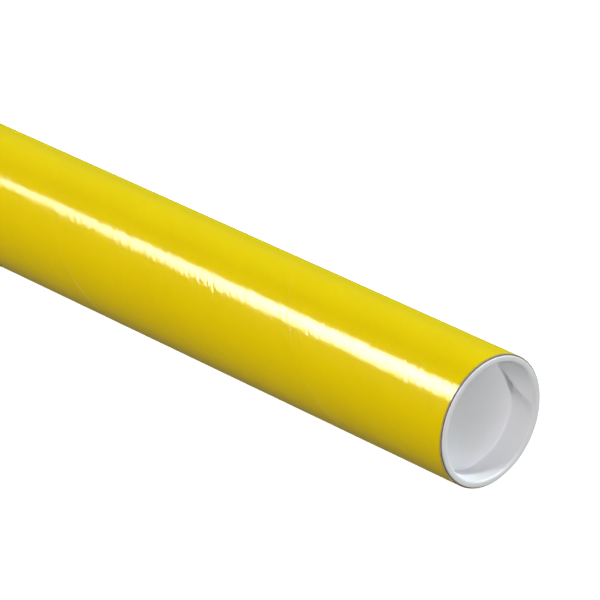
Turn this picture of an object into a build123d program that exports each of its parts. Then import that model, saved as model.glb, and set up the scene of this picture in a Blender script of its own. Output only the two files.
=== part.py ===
from build123d import *
import os

# A round drawing tube, closed by a push-in cap at each end.
# The tube lies along X on the plane Z = 0, with the origin under its middle.
# Its wall is wound from five plies of board and paper, from the bore outwards:
# a liner, three body plies and a coloured wrap. All lengths are in millimetres.

INCH = 25.4

# Tube
tube_length = 24 * INCH
bore_diameter = 2 * INCH
liner_thickness = 0.25
body_ply_thickness = 0.46
body_ply_count = 3
wrap_thickness = 0.15

# Cap: a thin flange that covers most of the tube's end, and a cup that plugs the bore
cap_side_clearance = 0.05
flange_inset = 0.68
flange_thickness = 0.8
flange_edge_radius = 0.3
recess_depth = 11.7
recess_mouth_radius = 23.9
recess_floor_radius = 23.6
mouth_rounding = 1.0
recess_floor_fillet = 0.6
floor_thickness = 1.1
plug_end_inset = 0.5
plug_parallel_length = 6.0
plug_end_fillet = 1.0

# Worked out
bore_radius = bore_diameter / 2
body_thickness = body_ply_count * body_ply_thickness
tube_radius = bore_radius + liner_thickness + body_thickness + wrap_thickness
half_length = tube_length / 2
axis_height = tube_radius
plug_radius = bore_radius - cap_side_clearance
plug_length = recess_depth + floor_thickness - flange_thickness
flange_radius = tube_radius - flange_inset
tube_axis = Axis((0, 0, axis_height), (1, 0, 0))


def make_ply(inner_radius, thickness):
    """One ply of the wall: a thin shell as long as the tube."""
    with BuildPart() as ply:
        with BuildSketch(Plane.YZ.offset(-half_length)):
            with Locations((0, axis_height)):
                Circle(inner_radius + thickness)
                Circle(inner_radius, mode=Mode.SUBTRACT)
        extrude(amount=tube_length)
    return ply.part


def corner(sketch, along, radius):
    """The sketch's corner at this place along the tube and this distance from its axis."""
    return sketch.vertices().sort_by_distance((along, axis_height + radius, 0))[0]


def make_front_cap():
    """The cap at the +X end, turned from half of its section."""
    seat = half_length
    face = seat + flange_thickness
    recess_floor = face - recess_depth
    plug_end = seat - plug_length
    taper_start = seat - plug_parallel_length
    plug_end_radius = plug_radius - plug_end_inset
    with BuildPart() as cap:
        with BuildSketch(Plane.XZ) as section:
            with BuildLine():
                Polyline(
                    (plug_end, axis_height),
                    (plug_end, axis_height + plug_end_radius),
                    (taper_start, axis_height + plug_radius),
                    (seat, axis_height + plug_radius),
                    (seat, axis_height + flange_radius),
                    (face, axis_height + flange_radius),
                    (face, axis_height + recess_mouth_radius),
                    (recess_floor, axis_height + recess_floor_radius),
                    (recess_floor, axis_height),
                    close=True,
                )
            make_face()
            fillet(corner(section, plug_end, plug_end_radius), plug_end_fillet)
            fillet(corner(section, seat, flange_radius), flange_edge_radius)
            fillet(corner(section, face, flange_radius), flange_edge_radius)
            fillet(corner(section, face, recess_mouth_radius), mouth_rounding)
            fillet(corner(section, recess_floor, recess_floor_radius), recess_floor_fillet)
        revolve(axis=tube_axis)
    return cap.part


os.makedirs("parts", exist_ok=True)
pieces = {}
pieces["inner_liner"] = make_ply(bore_radius, liner_thickness)
for number in range(1, body_ply_count + 1):
    below = bore_radius + liner_thickness + (number - 1) * body_ply_thickness
    pieces[f"body_ply_{number}"] = make_ply(below, body_ply_thickness)
pieces["outer_wrap"] = make_ply(tube_radius - wrap_thickness, wrap_thickness)

front_cap = make_front_cap()
pieces["front_end_cap"] = front_cap
pieces["rear_end_cap"] = mirror(front_cap, about=Plane.YZ)

for name, piece in pieces.items():
    piece.label = name
    export_step(piece, f"parts/{name}.step")
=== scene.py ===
import math

import bmesh
import bpy
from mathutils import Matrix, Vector, noise


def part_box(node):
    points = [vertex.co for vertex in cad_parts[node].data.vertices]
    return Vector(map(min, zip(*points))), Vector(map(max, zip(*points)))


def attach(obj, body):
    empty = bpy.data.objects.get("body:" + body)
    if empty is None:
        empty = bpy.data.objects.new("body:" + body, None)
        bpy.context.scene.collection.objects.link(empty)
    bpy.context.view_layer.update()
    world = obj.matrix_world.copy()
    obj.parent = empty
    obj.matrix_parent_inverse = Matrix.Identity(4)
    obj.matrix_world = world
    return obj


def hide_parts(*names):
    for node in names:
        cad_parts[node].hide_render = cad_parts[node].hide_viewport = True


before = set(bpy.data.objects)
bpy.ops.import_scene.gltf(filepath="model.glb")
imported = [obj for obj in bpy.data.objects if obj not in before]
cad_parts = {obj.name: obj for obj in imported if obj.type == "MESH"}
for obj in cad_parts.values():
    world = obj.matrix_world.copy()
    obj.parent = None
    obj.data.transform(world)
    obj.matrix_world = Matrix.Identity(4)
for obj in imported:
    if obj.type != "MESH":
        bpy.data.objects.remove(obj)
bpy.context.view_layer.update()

# Where the tube is, from the frame. It lies on z = 0, so any point on its outside
# gives its radius, and the radius is the height of its axis.
TOP = max((v.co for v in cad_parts["outer_wrap"].data.vertices), key=lambda co: co.z)
RADIUS = (TOP.y**2 + TOP.z**2) / (2 * TOP.z)
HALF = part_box("outer_wrap")[1].x

# Wall, from the bore outwards, in metres
LINER = 0.25e-3
BODY_PLY = 0.46e-3
BODY_PLIES = 3
WRAP = 0.15e-3
BORE = RADIUS - WRAP - BODY_PLIES * BODY_PLY - LINER

# Winding. The wrap's seam crosses the tube's top this far from its +X end. The outermost body
# ply's joint shows through the wrap beside the seam, and each ply further in is staggered from it.
# These lengths are all along the tube's axis.
PITCH = 5.1 * RADIUS
SEAM_FROM_END = 4.07 * RADIUS
PLY_JOINT_FROM_SEAM = 1.504 * RADIUS
PLY_STAGGER = 0.31 * PITCH
LAP = 2.6e-3
LAP_RISE = 0.035e-3
JOGGLE = 3.0e-3
BUTT_GAP = 0.25e-3
STEPS_PER_TURN = 144


def link(mesh, name, materials):
    """A new object from a mesh, with its materials."""
    piece = bpy.data.objects.new(name, mesh)
    bpy.context.scene.collection.objects.link(piece)
    for material in materials:
        mesh.materials.append(material)
    return piece


def finish_mesh(bm, name, sharp_degrees=28):
    """Cleans a bmesh and turns it into a smooth mesh with its real corners kept sharp."""
    bmesh.ops.remove_doubles(bm, verts=bm.verts, dist=2e-7)
    bmesh.ops.recalc_face_normals(bm, faces=bm.faces)
    mesh = bpy.data.meshes.new(name)
    bm.to_mesh(mesh)
    bm.free()
    mesh.polygons.foreach_set("use_smooth", [True] * len(mesh.polygons))
    mesh.set_sharp_from_angle(angle=math.radians(sharp_degrees))
    return mesh


def on_tube(x, turn, radius):
    """The point at this place along the tube. The turn is counted from the top towards -Y."""
    angle = math.tau * turn
    return Vector((x, -radius * math.sin(angle), RADIUS + radius * math.cos(angle)))


def wound_strip(name, start, width, outside, inside, outer_stations, inner_stations):
    """One ply: a strip wound in a right-handed helix and cut square at both ends of the tube.

    start is where its low edge crosses the top of the tube. outside and inside give the
    radius at each distance from that edge, and the stations are where it is measured. Such
    distances, and width, run along the tube's axis and not square across the strip.
    The mesh's UV map holds metres: round the tube, and along it from the strip's low edge.
    """
    first_turn = (-HALF - start - width) / PITCH
    last_turn = (HALF - start) / PITCH
    count = math.ceil((last_turn - first_turn) * STEPS_PER_TURN)
    loop = [(w, outside, 1) for w in outer_stations]
    loop += [(w, inside, 0) for w in reversed(inner_stations)]
    bm = bmesh.new()
    uv_layer = bm.loops.layers.uv.new("strip")
    rows = []
    for i in range(count + 1):
        turn = first_turn + (last_turn - first_turn) * i / count
        low = start + PITCH * turn
        row = []
        for w, radius_at, _ in loop:
            x = min(max(low + w, -HALF), HALF)
            across = x - low
            vertex = bm.verts.new(on_tube(x, turn, radius_at(across, turn)))
            row.append((vertex, (turn * math.tau * RADIUS, across)))
        rows.append(row)
    for row, following in zip(rows, rows[1:]):
        for j in range(len(loop)):
            k = (j + 1) % len(loop)
            corners = [row[j], row[k], following[k], following[j]]
            face = bm.faces.new([corner[0] for corner in corners])
            side = loop[j][2] + loop[k][2]
            face.material_index = 0 if side == 2 else 1
            for face_loop, corner in zip(face.loops, corners):
                face_loop[uv_layer].uv = corner[1]
    return finish_mesh(bm, name)


def across_stations(width, spacing, finer):
    """Distances from a strip's low edge, evenly spaced, and closer where finer says.

    finer holds (place, reach, step).
    """
    places = {0.0, width}
    places.update(i * spacing for i in range(1, int(width / spacing) + 1))
    for place, reach, step in finer:
        places.update(place + i * step for i in range(-round(reach / step), round(reach / step) + 1))
    kept = []
    for place in sorted(p for p in places if 0 <= p <= width):
        if not kept or place - kept[-1] > 0.03e-3:
            kept.append(place)
    return kept


def smooth(a, b, x):
    """0 before a, 1 after b, and an easy curve between."""
    t = min(max((x - a) / (b - a), 0), 1)
    return t * t * (3 - 2 * t)


# Materials ------------------------------------------------------------------------------


class Shader:
    """A material's node tree, with short calls for the nodes it is built from."""

    def __init__(self, name):
        self.material = bpy.data.materials.new(name)
        self.material.use_nodes = True
        self.nodes = self.material.node_tree.nodes
        self.links = self.material.node_tree.links
        self.bsdf = self.nodes["Principled BSDF"]

    def put(self, socket, value):
        if isinstance(value, bpy.types.NodeSocket):
            self.links.new(value, socket)
        else:
            socket.default_value = value

    def node(self, kind, settings=None, **inputs):
        node = self.nodes.new(kind)
        for key, value in (settings or {}).items():
            setattr(node, key, value)
        for key, value in inputs.items():
            name = key.replace("_", " ")
            socket = next(s for s in node.inputs if s.enabled and s.name == name)
            self.put(socket, value)
        return node

    def place(self):
        """The point on the object, in metres."""
        return self.node("ShaderNodeTexCoord").outputs["Object"]

    def along(self, vector):
        """The first of a vector's three numbers."""
        return self.node("ShaderNodeSeparateXYZ", Vector=vector).outputs[0]

    def math(self, operation, a, b=0.0):
        node = self.nodes.new("ShaderNodeMath")
        node.operation = operation
        self.put(node.inputs[0], a)
        self.put(node.inputs[1], b)
        return node.outputs[0]

    def vector(self, x, y):
        return self.node("ShaderNodeCombineXYZ", X=x, Y=y).outputs[0]

    def noise(self, vector, scale=1.0, detail=2.0, roughness=0.5):
        node = self.node("ShaderNodeTexNoise", Vector=vector, Scale=scale, Detail=detail,
                         Roughness=roughness)
        return node.outputs[0]

    def range(self, value, low, high, to_low=0.0, to_high=1.0):
        node = self.node("ShaderNodeMapRange", Value=value, From_Min=low, From_Max=high,
                         To_Min=to_low, To_Max=to_high)
        return node.outputs[0]

    def mix(self, factor, a, b):
        node = self.nodes.new("ShaderNodeMix")
        node.data_type = "RGBA"
        self.put(node.inputs[0], factor)
        for socket, value in zip((node.inputs[6], node.inputs[7]), (a, b)):
            if isinstance(value, bpy.types.NodeSocket):
                self.links.new(value, socket)
            else:
                socket.default_value = (*value, 1)
        return node.outputs[2]

    def bump(self, height, distance, normal=None):
        node = self.node("ShaderNodeBump", Height=height, Distance=distance, Strength=1.0)
        if normal is not None:
            self.links.new(normal, node.inputs["Normal"])
        return node.outputs[0]

    def surface(self, **inputs):
        for key, value in inputs.items():
            name = key.replace("_", " ")
            if name.endswith("Color") and isinstance(value, tuple):
                value = (*value, 1)
            self.put(self.bsdf.inputs[name], value)
        return self.material


def strip_uv(shader):
    """The strip's own coordinates in metres. A line of constant across follows the strip."""
    uv = shader.node("ShaderNodeUVMap", {"uv_map": "strip"}).outputs[0]
    parts = shader.node("ShaderNodeSeparateXYZ", Vector=uv)
    return parts.outputs[0], parts.outputs[1]


def printed_paper():
    """Glossy yellow printed paper. Its faint streaks run along the wound strip.

    Real varnish reflects white. The specular tint is yellow to keep the ink from going grey
    at grazing angles, so it also makes highlights yellowish under plain white lights.
    """
    shader = Shader("printed_paper")
    along, across = strip_uv(shader)
    fibres = shader.noise(shader.vector(shader.math("MULTIPLY", along, 220),
                                        shader.math("MULTIPLY", across, 900)), detail=2)
    ripples = shader.noise(shader.vector(shader.math("MULTIPLY", along, 190),
                                         shader.math("MULTIPLY", across, 450)), detail=2)
    clouds = shader.noise(shader.vector(along, across), scale=26, detail=3)
    normal = shader.bump(fibres, 0.042e-3, normal=shader.bump(ripples, 0.11e-3))
    ink = shader.mix(shader.range(clouds, 0.35, 0.65), (0.79, 0.590, 0.0), (0.81, 0.610, 0.0))
    to_edge = shader.math("SUBTRACT", PITCH + LAP, across)
    worn = shader.range(to_edge, 0.30e-3, 0.05e-3)
    colour = shader.mix(shader.math("MULTIPLY", worn, 0.06), ink, (0.86, 0.75, 0.25))
    place = shader.place()
    # Within a quarter millimetre of each end the wrap goes dark brown: partly a rubbed edge showing
    # board, partly painted shade where the cap's flange meets the tube.
    to_end = shader.math("SUBTRACT", HALF, shader.math("ABSOLUTE", shader.along(place)))
    rubbed_and_shaded = shader.math("ADD", to_end, shader.math("MULTIPLY", shader.noise(place, 700), -0.5e-3))
    colour = shader.mix(shader.range(rubbed_and_shaded, 0.25e-3, 0.0, 0, 0.75), colour, (0.22, 0.15, 0.07))
    return shader.surface(
        Base_Color=colour,
        Roughness=shader.range(fibres, 0.3, 0.7, 0.115, 0.16),
        IOR=1.38,
        Specular_Tint=(1.0, 0.97, 0.45, 1),
        Normal=normal,
    )


def paper_core():
    """The wrap paper's cut edge and back."""
    shader = Shader("paper_core")
    along, across = strip_uv(shader)
    grain = shader.noise(shader.vector(along, across), scale=2500, detail=3)
    colour = shader.mix(grain, (0.62, 0.56, 0.42), (0.80, 0.76, 0.64))
    return shader.surface(Base_Color=colour, Roughness=0.85, Normal=shader.bump(grain, 0.03e-3))


def board(name, light, dark):
    """Brown or grey paperboard, with fibres and flecks."""
    shader = Shader(name)
    place = shader.place()
    fibres = shader.noise(place, scale=1500, detail=5, roughness=0.65)
    flecks = shader.noise(place, scale=520, detail=2)
    patches = shader.noise(place, scale=60, detail=3)
    colour = shader.mix(fibres, dark, light)
    colour = shader.mix(shader.range(flecks, 0.66, 0.72, 0, 0.55), colour, tuple(c * 0.45 for c in dark))
    colour = shader.mix(shader.range(patches, 0.4, 0.7, 0, 0.25), colour, light)
    return shader.surface(Base_Color=colour, Roughness=0.9, Specular_IOR_Level=0.25,
                          Normal=shader.bump(fibres, 0.08e-3))


def cap_plastic():
    """Soft white polyethylene, faintly scuffed."""
    shader = Shader("cap_plastic")
    place = shader.place()
    haze = shader.noise(place, scale=90, detail=3)
    skin = shader.noise(place, scale=900, detail=2)
    colour = shader.mix(haze, (0.83, 0.835, 0.84), (0.88, 0.885, 0.89))
    return shader.surface(
        Base_Color=colour,
        Roughness=shader.range(haze, 0.3, 0.7, 0.32, 0.42),
        IOR=1.51,
        Subsurface_Weight=0.25,
        Subsurface_Radius=(1.2e-3, 1.2e-3, 1.3e-3),
        Subsurface_Scale=1.0,
        Normal=shader.bump(skin, 0.02e-3),
    )


# Pieces ---------------------------------------------------------------------------------


def make_wrap():
    """The yellow wrap: a strip whose high edge laps over the low edge of its next turn."""
    base = RADIUS - WRAP
    width = PITCH + LAP
    ply_joint = PITCH - PLY_JOINT_FROM_SEAM

    def inside(w, turn):
        return base + WRAP * smooth(PITCH - JOGGLE, PITCH - 0.1e-3, w)

    def outside(w, turn):
        rise = LAP_RISE * smooth(PITCH - JOGGLE, PITCH, w)
        edge = LAP_RISE * 0.3 * smooth(width - 0.25e-3, width, w)
        at = Vector((turn * math.tau * RADIUS, w, 0))
        swell = noise.noise(at * 55) * 0.03e-3
        joint = math.exp(-(((w - ply_joint) / 0.45e-3) ** 2))
        opening = 0.03e-3 + 0.02e-3 * noise.noise(Vector((at.x * 40, 3.1, 0)))
        return RADIUS + rise - edge + swell - opening * joint

    stations = across_stations(width, 3.4e-3, [
        (ply_joint, 1.2e-3, 0.3e-3),
        (PITCH - JOGGLE / 2, 0.8e-3, 0.2e-3),
        (width - 0.15e-3, 0.15e-3, 0.075e-3),
    ])
    mesh = wound_strip("wrap", HALF - SEAM_FROM_END - PITCH, width, outside, inside,
                       stations, [0, PITCH - JOGGLE, PITCH - JOGGLE / 2, PITCH, width])
    wrap = link(mesh, "wrap_strip", [printed_paper(), paper_core()])
    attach(wrap, "tube")
    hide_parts("outer_wrap")


def make_plies():
    """The liner and the body plies: strips wound edge to edge, each with its joint elsewhere."""
    chipboard = board("chipboard", (0.30, 0.225, 0.15), (0.17, 0.125, 0.085))
    kraft = board("liner_kraft", (0.50, 0.34, 0.20), (0.36, 0.235, 0.13))
    layers = [("liner_strip", "inner_liner", "liner_paper", kraft, LINER)]
    for number in range(1, BODY_PLIES + 1):
        layers.append((f"body_strip_{number}", f"body_ply_{number}", "chipboard", chipboard, BODY_PLY))
    width = PITCH - BUTT_GAP
    stations = across_stations(width, 20e-3, [])
    inner = BORE
    for index, (name, node, slot, material, thickness) in enumerate(layers):
        outer = inner + thickness
        shift = -PLY_JOINT_FROM_SEAM - PLY_STAGGER * (BODY_PLIES - index)
        mesh = wound_strip(name, HALF - SEAM_FROM_END - PITCH + shift, width,
                           lambda w, turn: outer, lambda w, turn: inner, stations, stations)
        strip = link(mesh, name, [material, material])
        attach(strip, "tube")
        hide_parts(node)
        inner = outer


def rounded(corners):
    """A section line through (along, radius, rounding) corners, with its roundings as arcs."""
    line = []
    for i, (x, r, rounding) in enumerate(corners):
        here = Vector((x, r))
        if rounding == 0:
            line.append(here)
            continue
        before = (Vector(corners[i - 1][:2]) - here).normalized()
        after = (Vector(corners[i + 1][:2]) - here).normalized()
        half_angle = before.angle(after) / 2
        start = here + before * rounding / math.tan(half_angle)
        end = here + after * rounding / math.tan(half_angle)
        centre = here + (before + after).normalized() * rounding / math.sin(half_angle)
        steps = 7
        for k in range(steps + 1):
            spoke = (start - centre).lerp(end - centre, k / steps).normalized()
            line.append(centre + spoke * rounding)
    return line


def densify(line, step):
    """The same line with extra points, so that no run is longer than step."""
    dense = [line[0]]
    for a, b in zip(line, line[1:]):
        count = max(1, math.ceil((b - a).length / step))
        dense += [a.lerp(b, k / count) for k in range(1, count + 1)]
    return dense


# Cap, in metres. MOUTH and FLOOR are the recess's radius at its mouth and at its floor.
CAP_STEPS = 480
FLANGE_INSET = 0.68e-3
FLANGE = 0.8e-3
RECESS = 11.7e-3
MOUTH = 23.9e-3
FLOOR = 23.6e-3
FLOOR_PLATE = 1.1e-3
PLUG_CLEARANCE = 0.05e-3
PLUG_PARALLEL = 6.0e-3
PLUG_TAPER = 0.5e-3

# Fold in the recess wall, in metres: the ridge's height at the mouth and how much it grows by,
# and how far its steep side and its facet reach.
FOLD_AT_MOUTH = 0.6e-3
FOLD_GROWTH = 2.7e-3
FOLD_STEEP_SIDE = 5.5e-3
FOLD_FACET = 14e-3


def buckle(depth, degrees):
    """How far the squeezed recess wall leans in, at a depth below the mouth and an angle round it.

    A ridge runs slantwise down the wall and bends along the floor. Its mouth side is a flat facet
    that faces outward, and its floor side drops away steeply.
    """
    down = min(max(depth / RECESS, 0), 1)
    # in degrees round the wall, a smooth curve fitted to the fold's line in the photograph
    crest = -1 + 19 * down + 20 * down**3
    # the ridge slants, so its crest is nearer than a point's distance from it round the wall
    across = 0.75 * FLOOR * math.radians(degrees - crest)
    height = FOLD_AT_MOUTH + FOLD_GROWTH * math.sin(2.2 * down)
    if across < 0:
        return height * max(0, 1 + across / FOLD_STEEP_SIDE) ** 1.6
    return height * max(0, 1 - across / FOLD_FACET)


def cap_ring(bm, x, r, turned, leans):
    """The ring of vertices that one point of the cap's section makes, or one vertex on the axis."""
    if r < 1e-9:
        return [bm.verts.new((x, 0, RADIUS))] * CAP_STEPS
    ring = []
    for k in range(CAP_STEPS):
        angle = math.tau * k / CAP_STEPS
        from_fold = (math.degrees(angle) - turned + 180) % 360 - 180
        lean = buckle(HALF + FLANGE - abs(x), from_fold) if leans else 0
        radius = r * (1 - lean / FLOOR)
        ring.append(bm.verts.new((x, radius * math.cos(angle), RADIUS + radius * math.sin(angle))))
    return ring


def make_cap(name, node, body, direction, turned, plastic):
    """A push-in cap. direction is +1 at the +X end and -1 at the other; turned moves its fold round."""
    flange_radius = RADIUS - FLANGE_INSET
    plug = BORE - PLUG_CLEARANCE
    # (outwards from the tube's end, radius, rounding), from the plug's nose to the recess's floor
    section = [
        (FLANGE - RECESS - FLOOR_PLATE, 0, 0),
        (FLANGE - RECESS - FLOOR_PLATE, plug - PLUG_TAPER, 1.0e-3),
        (-PLUG_PARALLEL, plug, 0),
        (0, plug, 0),
        (0, flange_radius, 0.3e-3),
        (FLANGE, flange_radius, 0.3e-3),
        (FLANGE, MOUTH, 1.0e-3),
        (FLANGE - RECESS, FLOOR, 0.6e-3),
        (FLANGE - RECESS, 0, 0),
    ]
    line = densify(rounded(section), 0.8e-3)
    bm = bmesh.new()
    rings = []
    past_rim = False
    for x, r in line:
        past_rim = past_rim or x > FLANGE - 1e-7
        rings.append(cap_ring(bm, direction * (HALF + x), r, turned, past_rim))
    for ring, following in zip(rings, rings[1:]):
        for k in range(CAP_STEPS):
            m = (k + 1) % CAP_STEPS
            # a dict keeps the order and drops the repeats that a ring on the axis has
            corners = list(dict.fromkeys((ring[k], ring[m], following[m], following[k])))
            bm.faces.new(corners)
    cap = link(finish_mesh(bm, name, 40), name, [plastic])
    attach(cap, body)
    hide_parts(node)


# Room -----------------------------------------------------------------------------------

CAMERA_AZIMUTH = 46.27
CAMERA_ELEVATION = 25.90
CAMERA_DISTANCE = 65.89 * RADIUS
CAMERA_AIM = Vector((HALF - 2.36 * RADIUS, -1.42 * RADIUS, 2.53 * RADIUS))
LENS = 283.5
SENSOR_WIDTH = 36


def direction_to(azimuth, elevation):
    """A unit vector towards a place at this azimuth and elevation, as the camera's are given."""
    a, e = math.radians(azimuth), math.radians(elevation)
    return Vector((math.sin(a) * math.cos(e), -math.cos(a) * math.cos(e), math.sin(e)))


def make_camera():
    camera = bpy.data.objects.new("camera", bpy.data.cameras.new("camera"))
    bpy.context.scene.collection.objects.link(camera)
    back = direction_to(CAMERA_AZIMUTH, CAMERA_ELEVATION)
    camera.location = CAMERA_AIM + back * CAMERA_DISTANCE
    camera.rotation_euler = back.to_track_quat("Z", "Y").to_euler()
    camera.data.lens = LENS
    camera.data.sensor_width = SENSOR_WIDTH
    camera.data.clip_end = 50
    bpy.context.scene.camera = camera


def unseen_by_object(obj):
    """Keeps the white room out of the object's own light and reflections."""
    obj.visible_diffuse = False
    obj.visible_glossy = False
    obj.visible_transmission = False
    obj.visible_shadow = False


def plain_mesh(bm, name):
    """A mesh from a bmesh, as it is."""
    mesh = bpy.data.meshes.new(name)
    bm.to_mesh(mesh)
    bm.free()
    return mesh


def make_room():
    """A white sweep, bright enough to wash out all but the shadow close to the tube."""
    bm = bmesh.new()
    bmesh.ops.create_grid(bm, x_segments=1, y_segments=1, size=20)
    shader = Shader("floor_paper")
    place = shader.place()
    length = shader.node("ShaderNodeVectorMath", {"operation": "LENGTH"}, Vector=place)
    away = length.outputs["Value"]
    tooth = shader.noise(place, scale=700, detail=2)
    material = shader.surface(Base_Color=(0.9, 0.9, 0.9), Roughness=0.9,
                              Emission_Color=(1, 1, 1),
                              Emission_Strength=shader.range(away, 0.4, 1.6, 0.8, 1.0),
                              Normal=shader.bump(tooth, 0.02e-3))
    floor = link(plain_mesh(bm, "floor"), "floor", [material])
    unseen_by_object(floor)

    bm = bmesh.new()
    bmesh.ops.create_icosphere(bm, subdivisions=4, radius=19)
    shader = Shader("backdrop_paper")
    material = shader.surface(Base_Color=(0, 0, 0), Emission_Color=(1, 1, 1), Emission_Strength=1.0)
    backdrop = link(plain_mesh(bm, "backdrop"), "backdrop", [material])
    unseen_by_object(backdrop)


def area_light(name, direction, distance, size, brightness, colour=(1, 1, 1), along=HALF):
    """A soft light facing the tube at along. It lights a white surface that faces it to brightness."""
    data = bpy.data.lights.new(name, "AREA")
    data.shape = "RECTANGLE"
    data.size, data.size_y = size
    data.energy = brightness * (math.pi * distance) ** 2
    data.color = colour
    light = bpy.data.objects.new(name, data)
    bpy.context.scene.collection.objects.link(light)
    direction = Vector(direction).normalized()
    light.location = Vector((along, 0, RADIUS)) + direction * distance
    light.rotation_euler = direction.to_track_quat("Z", "Y").to_euler()
    light.visible_glossy = False
    return light


def strip_softbox(name, side, outline, glow):
    """A long softbox over one side of the tube: -1 is the -Y side. It only makes a highlight.

    Its glow is bluish, which makes up for the wrap's yellow specular tint.

    outline has its (x, degrees from straight up) corners, and glow its (x, brightness) steps.
    """
    distance = 0.6
    middle = math.radians(35)
    outward = Vector((0, side * math.sin(middle), math.cos(middle)))
    sideways = Vector((0, side * math.cos(middle), -math.sin(middle)))
    bm = bmesh.new()
    corners = []
    for x, degrees in outline:
        offset = math.tan(math.radians(degrees) - middle) * distance
        corners.append(bm.verts.new(Vector((x, 0, RADIUS)) + outward * distance + sideways * offset))
    bm.faces.new(corners)
    shader = Shader(name + "_glow")
    x = shader.along(shader.place())
    strength = glow[0][1]
    for (start, dim), (end, bright) in zip(glow, glow[1:]):
        strength = shader.math("ADD", strength, shader.range(x, start, end, 0, bright - dim))
    material = shader.surface(Base_Color=(0, 0, 0), Emission_Color=(1, 1, 1.65),
                              Emission_Strength=strength)
    box = link(plain_mesh(bm, name), name, [material])
    box.visible_camera = False
    box.visible_diffuse = False


def bounce_card():
    """A dim yellowish card, low behind the tube, that keeps the tube's far edge from going grey."""
    bm = bmesh.new()
    for x, y, z in ((-6, 2.5, -3), (1, 2.5, -3), (1, 2.5, 0.4), (-6, 2.5, 0.4)):
        bm.verts.new((x, y, z))
    bm.faces.new(bm.verts)
    shader = Shader("bounce_card_paper")
    material = shader.surface(Base_Color=(0, 0, 0), Emission_Color=(1, 0.95, 0.1),
                              Emission_Strength=0.38)
    card = link(plain_mesh(bm, "bounce_card"), "bounce_card", [material])
    card.visible_camera = False
    card.visible_diffuse = False
    card.visible_shadow = False


def make_lights():
    world = bpy.data.worlds.new("room")
    world.use_nodes = True
    background = world.node_tree.nodes["Background"]
    background.inputs["Color"].default_value = (1, 1, 1, 1)
    background.inputs["Strength"].default_value = 0.12
    bpy.context.scene.world = world
    # the part of the front softbox that the camera sees mirrored in the tube's near end
    seen = HALF - 0.513
    strip_softbox("front_softbox", -1, [
        (seen - 24 * RADIUS, 27),
        (1.0, 27),
        (1.0, 54),
        (seen + 8 * RADIUS, 54),
        (seen - 0.5 * RADIUS, 48.5),
        (seen - 9.5 * RADIUS, 39),
        (seen - 24 * RADIUS, 32),
    ], [(seen - 10 * RADIUS, 16), (seen, 38), (seen + 2 * RADIUS, 38), (seen + 9 * RADIUS, 3)])
    strip_softbox("rear_softbox", 1, [
        (HALF + 0.02, 30),
        (1.4, 30),
        (1.4, 50),
        (HALF + 0.02, 50),
    ], [(0, 10)])
    bounce_card()
    cool = (0.87, 1.0, 1.0)
    area_light("key_light", (0, -0.9, 0.43), 1.5, (2.4, 0.6), 0.79, (1, 0.935, 0.94), HALF - 0.2)
    area_light("back_light", (0.21, 0.87, 0.45), 2.5, (0.15, 0.15), 0.86, cool)
    area_light("top_light", (-0.25, 0, 0.97), 2.5, (1.0, 1.0), 0.24, cool)
    area_light("end_light", (0.94, -0.14, 0.3), 2.5, (0.5, 0.5), 0.37)
    area_light("bounce_light", (-0.2, -0.35, -0.92), 2.5, (1.0, 1.0), 0.05)
    area_light("rear_light", (-0.85, 0.45, 0.3), 2.5, (1.0, 1.0), 0.5, cool, -HALF)
    area_light("rear_fill", (-0.8, -0.5, 0.35), 2.5, (1.0, 1.0), 0.22, (1, 1, 1), -HALF)
    bpy.context.scene.view_settings.view_transform = "Standard"


make_camera()
white_plastic = cap_plastic()
make_wrap()
make_plies()
make_cap("front_cap", "front_end_cap", "front_cap", 1, 0, white_plastic)
make_cap("rear_cap", "rear_end_cap", "rear_cap", -1, 140, white_plastic)
make_room()
make_lights()
